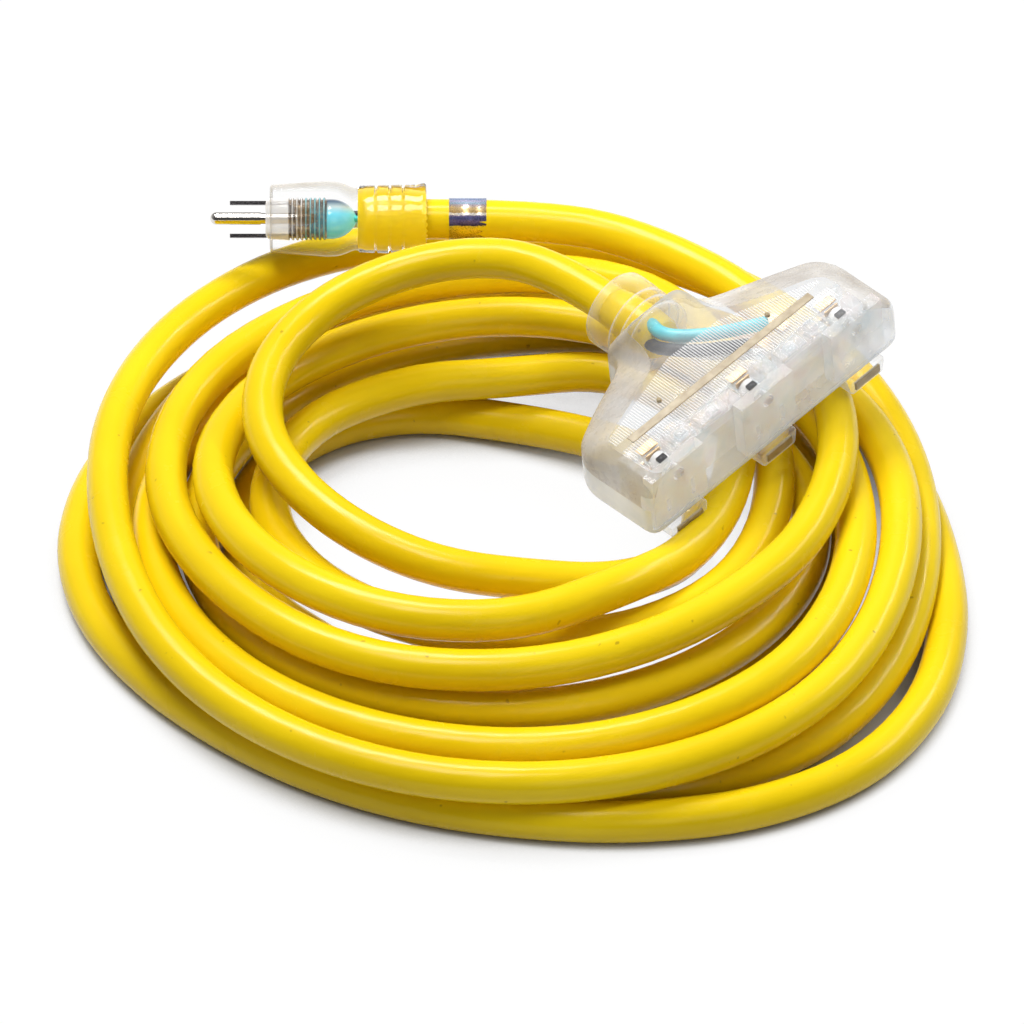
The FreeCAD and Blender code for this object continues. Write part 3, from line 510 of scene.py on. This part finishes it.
# plug: one clear body with wings that round in towards the ringed neck
GRIP_END = 0.0265
grip = [(59.9, 11.4, 12.6, 4.5), (59.4, 12.6, 13.2, 4.5), (54, 12.8, 13.6, 4), (46, 13.0, 14.2, 3.6),
        (38, 13.0, 14.7, 3.2), (34, 13.0, 14.4, 3), (31, 12.8, 13.6, 2.6), (28.6, 12.6, 12.5, 2.3),
        (27, 12.5, 12.0, 2.1)]
neck = [(26, 12.4), (25.4, 12.9), (19.6, 13.1), (19.3, 12.1), (18.9, 12.1), (18.6, 13.1), (14.2, 13.2),
        (13.9, 12.2), (13.5, 12.2), (13.2, 13.2), (9.0, 13.3), (8.7, 12.3), (8.3, 12.3), (8.0, 13.3),
        (3, 13.4), (1.2, 13.9), (0.3, 13.9), (-0.4, 13.2)]
shell_rings = [oval(*ring) for ring in grip] + turn_x(neck)
shell = build("plug_shell", *skin(shell_rings), plug_frame, "clear_plastic", shell_clear, neck_clear)
for face in shell.data.polygons:
    if face.center.x < GRIP_END:
        face.material_index = 1
soften(shell, 0.25, 50)
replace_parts(shell, "plug_housing")

# the inner block with its nose and its ridges, with painted shade in the grooves and teal near the dome
RIDGES = 9
RIDGE_START = 53.2
RIDGE_PITCH = 1.74
RIDGE_WIDTH = 0.5
TEAL_START = 46.5
core = [(61.6, 9.0, 6.6), (61.3, 10.0, 7.4), (60.3, 10.6, 8.0), (54.5, 10.7, 8.1)]
for i in range(RIDGES):
    x = RIDGE_START - RIDGE_PITCH * i
    core += [(x, 10.7, 8.2), (x - RIDGE_WIDTH, 10.7, 8.2), (x - 0.75, 9.9, 7.4), (x - 1.3, 9.9, 7.4)]
block_rings = [oval(*ring, power=4, middle_y=0.25) for ring in core]
block = build("plug_ribbed_block", *skin(block_rings), plug_frame, "clear_plastic",
              core_clear, groove, core_tinted)
for face in block.data.polygons:
    x = face.center.x * 1000
    # the faces between the ridges take the painted shade
    if x < RIDGE_START and (RIDGE_START - x) % RIDGE_PITCH > RIDGE_WIDTH:
        face.material_index = 1
    elif x < TEAL_START:
        face.material_index = 2
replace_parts(block, "plug_inner_block")

# the dome: its foot in the block, then a quarter turn, then its stem
DOME_FOOT = 36.4
DOME_HEIGHT = 9.8
dome_profile = [(44.5, 0.7), (44.0, 0.84), (40.0, 0.9), (39.6, 1.0), (DOME_FOOT, 1.0)]
for i in range(1, 12):
    turn = math.radians(90 * i / 12)
    dome_profile.append((DOME_FOOT - DOME_HEIGHT * math.sin(turn), math.cos(turn) ** 1.15))
dome_profile += [(26.4, 0.17), (25.4, 0.16), (25.0, 0.1)]
dome_rings = [oval(x, 9.6 * share, 7.7 * share, 2.1, 0.2) for x, share in dome_profile]
dome = build("plug_dome", *skin(dome_rings), plug_frame, "blue_plastic", blue)
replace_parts(dome, "plug_lamp_dome")

end_rings = turn_x([(25.6, 6.5), (25.2, 8.2), (22, 8.9), (12, 9.0), (2, 8.2), (0.2, 7.8), (-1.0, 7.7)])
jacket_end = build("cord_end_plug", *skin(end_rings), plug_frame, "jacket", bedded)
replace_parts(jacket_end, "cord_end_in_plug")

label_rings = turn_x([(-9.2, 7.85), (-9.2, 8.1), (-23.6, 8.1), (-23.6, 7.85)])
label = build("wrap_label", *skin(label_rings), plug_frame, "label", foil)
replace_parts(label, "cord_label")

# outlet block: half outlines from the outlet side to the neck, low on the walls and on top
low_right = [(69, 0), (69, 32), (64.5, 40.5), (45.5, 48.5), (25, 56.5), (20.5, 60), (20.5, 67.5)]
low_left = [(63.5, 0), (64, 33), (60, 41), (45, 48.5), (25, 56.5), (20.5, 60), (20.5, 67.5)]
top_right = [(54, 0.6), (55, 22.5), (51, 26.5), (34, 33), (18, 40.5), (15, 50), (14.5, 62)]
top_left = [(58, 0.6), (59, 25), (56, 28), (40, 33), (20, 40.5), (15.5, 50), (14.5, 62)]
low = low_right + [(-x, y) for x, y in reversed(low_left)]
top = top_right + [(-x, y) for x, y in reversed(top_left)]
# height, and the share of the way from the low outline to the top one
levels = [(-14.75, 0.10), (-13.9, 0.02), (-12.5, 0.0), (-2, 0.0), (3.0, 0.02), (4.6, 0.09), (8.8, 0.45),
          (12.6, 0.86), (13.8, 0.96), (14.3, 1.0)]


def rounded(outline, radius=5.0):
    """The outline with every corner turned into a short arc."""
    made = []
    for i, here in enumerate(outline):
        here = Vector(here)
        ends = []
        for other in (Vector(outline[i - 1]), Vector(outline[(i + 1) % len(outline)])):
            run = other - here
            ends.append(here + run.normalized() * min(radius, 0.45 * run.length))
        for t in (0, 0.25, 0.5, 0.75, 1):
            spot = ends[0] * (1 - t) ** 2 + here * 2 * t * (1 - t) + ends[1] * t ** 2
            made.append((spot.x, spot.y))
    return made


body_rings = []
for z, share in levels:
    ring = [(a[0] + (b[0] - a[0]) * share, a[1] + (b[1] - a[1]) * share) for a, b in zip(low, top)]
    body_rings.append([(x, y, z) for x, y in rounded(ring)])
body = build("tap_body", *skin(body_rings), tap_frame, "clear_plastic",
             frosted, panel_clear, face_clear, band_clear)
for face in body.data.polygons:
    middle = face.center * 1000
    on_front = middle.y < 0.8 and middle.z > -12
    on_edge_band = 0 < middle.z < 4 and middle.y < 10
    if middle.z > 14.2:
        face.material_index = 1
    elif on_front or on_edge_band:
        face.material_index = 2
    elif middle.z < -1:
        face.material_index = 3
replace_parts(body, "tap_housing")

neck_profile = [(57, 13), (58, 14.6), (60.8, 15.0), (61.2, 13.6), (62.4, 13.6), (62.8, 15.1), (65.6, 15.2),
                (66, 13.8), (67.2, 13.8), (67.6, 15.3), (70.4, 15.4), (70.8, 14), (72, 14), (72.4, 15.5),
                (79, 15.8), (81.6, 15.6), (82.4, 15), (82.6, 14)]
build("tap_neck", *skin(turn_y(neck_profile)), tap_frame, "clear_plastic", panel_clear)

end_rings = turn_y([(55.5, 5), (56.2, 7.4), (58, 8.6), (66, 9.2), (76, 8.8), (82, 8.0), (83.2, 7.75)])
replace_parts(build("cord_end_tap", *skin(end_rings), tap_frame, "jacket", jacket), "cord_end_in_tap")

# ribs on the panel, cut to its outline, with the smooth stripe left out
RIB_PITCH = 1.16
STRIPE = (18.9, 22.6)
PANEL_FRONT = 12.5
panel = [(-58, 26.5), (-14, 39), (12.5, 38.2), (51, 24.2)]
ribs = []
x = -57.2
while x < panel[-1][0]:
    for (x0, y0), (x1, y1) in zip(panel, panel[1:]):
        if x0 <= x < x1:
            back = y0 + (y1 - y0) * (x - x0) / (x1 - x0)
    for start, finish in ((PANEL_FRONT, STRIPE[0]), (STRIPE[1], back)):
        if finish > start + 0.5:
            section = [(x - 0.3, 14.2), (x + 0.3, 14.2), (x + 0.12, 14.5), (x - 0.12, 14.5)]
            ribs.append(skin([[(along, y, z) for along, z in section] for y in (start, finish)]))
    x += RIB_PITCH
rib_piece = build("tap_ribs", *together(ribs), tap_frame, "clear_plastic", rib_clear)
for face in rib_piece.data.polygons:
    face.use_smooth = False
stripe = build("tap_stripe", *box_at((-52, 19.0, 13.9), (44.3, 22.5, 14.5)), tap_frame, "contact_brass", tan)
soften(stripe, 0.3)
pips = []
for x, y in ((26, 25.8), (-31, 26.4)):
    pips.append(skin([[(x + math.cos(math.pi * k / 6), y + math.sin(math.pi * k / 6), z) for k in range(12)]
                      for z in (14.3, 15.2)]))
build("tap_pips", *together(pips), tap_frame, "contact_brass", tan)

# for each outlet: a tab below, with a tan sheet in its window that is painted shade for the gap seen through
# it; above, a brass plate, a white sleeve and a black box in its mouth that is painted shade
OUTLETS = (-47.5, 0, 47.5)
tab_parts, window_shade_parts, plates, sleeves, mouth_shades = [], [], [], [], []
for x in OUTLETS:
    tab_parts.append(skin([[(x - half, -3.2, z), (x + half, -3.2, z), (x + half, 5, z), (x - half, 5, z)]
                           for half, z in ((9.4, -13), (9.4, -15.5), (8.6, -19.6), (7.8, -20.6))]))
    # painted shade: a tan sheet in the window, for the shadowed gap behind it
    window_shade_parts.append(box_at((x - 6.6, -3.6, -19.0), (x + 6.6, -2.4, -15.0)))
for x in (outlet - 1.5 for outlet in OUTLETS):
    plates.append(box_at((x - 4.2, 13.4, 11.6), (x + 4.2, 17.4, 12.2)))
    plates.append(box_at((x - 3.6, 11.6, 9.6), (x + 3.2, 12.4, 12.2)))
    sleeves.append(skin(turn_y([(11.5, 2.6), (11, 3.6), (6.6, 3.6), (6.2, 3.2)], x, 8.6, 24)))
    # painted shade: a black box in the sleeve's mouth, for the shade inside it
    mouth_shades.append(box_at((x - 2.2, 6.0, 10.6), (x + 1.6, 8.4, 12.8)))
soften(build("tap_tabs", *together(tab_parts), tap_frame, "clear_plastic", face_clear), 0.9)
soften(build("tap_window_shades", *together(window_shade_parts), tap_frame, "contact_brass", tan), 0.4)
contacts = build("tap_ground_contacts", *together(plates), tap_frame, "contact_brass", brass)
soften(contacts, 0.25)
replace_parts(contacts, "tap_ground_bus")
build("tap_ground_sleeves", *together(sleeves), tap_frame, "white_wire", white)
build("tap_ground_mouth_shades", *together(mouth_shades), tap_frame, "black_wire", black)

# clear blocks behind the front: x, z and y ranges
inner = []
for low_x, high_x, low_z, high_z, low_y, high_y in (
        (-60, -54, -8, 9, 3, 16), (-41, -30, 0, 11, 8, 17), (-28, -14, 3, 12, 7, 14),
        (-12, -6, -2, 9, 8, 16), (6, 13, 1, 11, 8, 17), (15, 28, 3, 12, 7, 14),
        (31, 40, -1, 10, 8, 16), (53, 60, -8, 9, 3, 15), (-38, -33, 9, 12.4, 9, 13),
        (-22, -17, 9, 12.6, 8, 12), (19, 24, 9, 12.6, 8, 12), (33, 37, 8, 12.2, 10, 15)):
    inner.append(box_at((low_x, low_y, low_z), (high_x, high_y, high_z)))
soften(build("tap_inner_blocks", *together(inner), tap_frame, "clear_plastic", inner_clear), 0.8)

wire("tap_green", [(0, 62, 6), (-3.5, 56, 9), (-3, 49, 10.6), (2.5, 42, 11), (11, 34.5, 11), (26, 26, 10.4)],
     2.6, green, tap_frame, "tap_wire_ground")
wire("tap_black",
     [(-4.4, 62, 0), (-7, 54, 4), (-7, 46, 8.5), (-3.5, 37.5, 10.6), (4, 31, 10.6), (14, 24.5, 9)],
     2.5, black, tap_frame, "tap_wire_hot")
wire("tap_white", [(4.4, 62, -2), (2, 54, 3), (-1, 46, 5), (0, 37, 6), (8, 28, 6), (18, 20, 4)],
     2.1, white, tap_frame, "tap_wire_neutral")

# the cord, with the plug's pieces on its far end
curve.materials.append(jacket)
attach(cord, "root")
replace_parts(cord, "cord_coil", "cord_lead_to_tap", "cord_lead_to_plug")

# floor: white to the camera in the open, darker in the narrow gaps between the loops
WHITE_SHARE = 0.93
GAP_REACH = 0.03
floor_mesh = bpy.data.meshes.new("floor")
floor_mesh.from_pydata([(-4, -4, 0), (4, -4, 0), (4, 4, 0), (-4, 4, 0)], [], [(0, 1, 2, 3)])
floor = bpy.data.objects.new("floor", floor_mesh)
scene.collection.objects.link(floor)
pale = material("pale_floor", [(0.3, (0.52, 0.52, 0.52)), (0.7, (0.58, 0.58, 0.58))], (0.8, 0.9), 3.0, 0)
tree, shader = inside(pale)


def combined(tree, operation, first, second):
    """A sum, product or maximum of two values; the second may be a plain number."""
    node = add(tree, "ShaderNodeMath", operation=operation)
    tree.links.new(first, node.inputs[0])
    if isinstance(second, float):
        node.inputs[1].default_value = second
    else:
        tree.links.new(second, node.inputs[1])
    return node.outputs[0]


path = add(tree, "ShaderNodeLightPath")
seen = combined(tree, "MAXIMUM", path.outputs["Is Camera Ray"], path.outputs["Is Glossy Ray"])
seen = combined(tree, "MAXIMUM", seen, path.outputs["Is Transmission Ray"])
share = combined(tree, "MULTIPLY", seen, WHITE_SHARE)
closed = add(tree, "ShaderNodeAmbientOcclusion", samples=8, Distance=GAP_REACH)
share = combined(tree, "MULTIPLY", share, scaled(tree, closed.outputs["AO"], 0.0, 1.0, 0.3, 0.62))
glow = add(tree, "ShaderNodeEmission", Strength=1.03)
mix = add(tree, "ShaderNodeMixShader")
tree.links.new(share, mix.inputs["Fac"])
tree.links.new(shader.outputs["BSDF"], mix.inputs[1])
tree.links.new(glow.outputs["Emission"], mix.inputs[2])
tree.links.new(mix.outputs["Shader"], tree.nodes["Material Output"].inputs["Surface"])
floor_mesh.materials.append(pale)

# the sky is white behind the object, softer on it, and darker towards the front
world = bpy.data.worlds.new("world")
scene.world = world
world.use_nodes = True
tree = world.node_tree
background = tree.nodes["Background"]
background.inputs["Color"].default_value = (1, 1, 1, 1)
path = add(tree, "ShaderNodeLightPath")
sky = add(tree, "ShaderNodeTexCoord")
toward = add(tree, "ShaderNodeVectorMath", operation="DOT_PRODUCT")
toward.inputs[1].default_value = (0.1, -0.85, 0.5)
tree.links.new(sky.outputs["Generated"], toward.inputs[0])
dim = scaled(tree, toward.outputs["Value"], 0.38, 0.06, -0.2, 0.85)
level = combined(tree, "MAXIMUM", path.outputs["Is Camera Ray"], dim)
tree.links.new(level, background.inputs["Strength"])


def lamp(name, place, aim, size, power):
    data = bpy.data.lights.new(name, "AREA")
    data.shape = "RECTANGLE"
    data.size, data.size_y = size
    data.energy = power
    made = bpy.data.objects.new(name, data)
    scene.collection.objects.link(made)
    made.location = place
    made.rotation_euler = (Vector(aim) - Vector(place)).to_track_quat("-Z", "Y").to_euler()


lamp("key", (-0.35, 0.6, 1.6), (0, 0, 0), (0.8, 0.5), 22.5)
lamp("top", (-0.3, -0.35, 1.7), (0, 0, 0), (0.6, 0.6), 12)
lamp("fill", (0.5, -1.5, 0.9), (0, 0, 0), (0.8, 0.8), 2.5)
lamp("strip", (0.9, 0.35, 0.75), (0.08, 0, 0), (0.9, 0.05), 4)
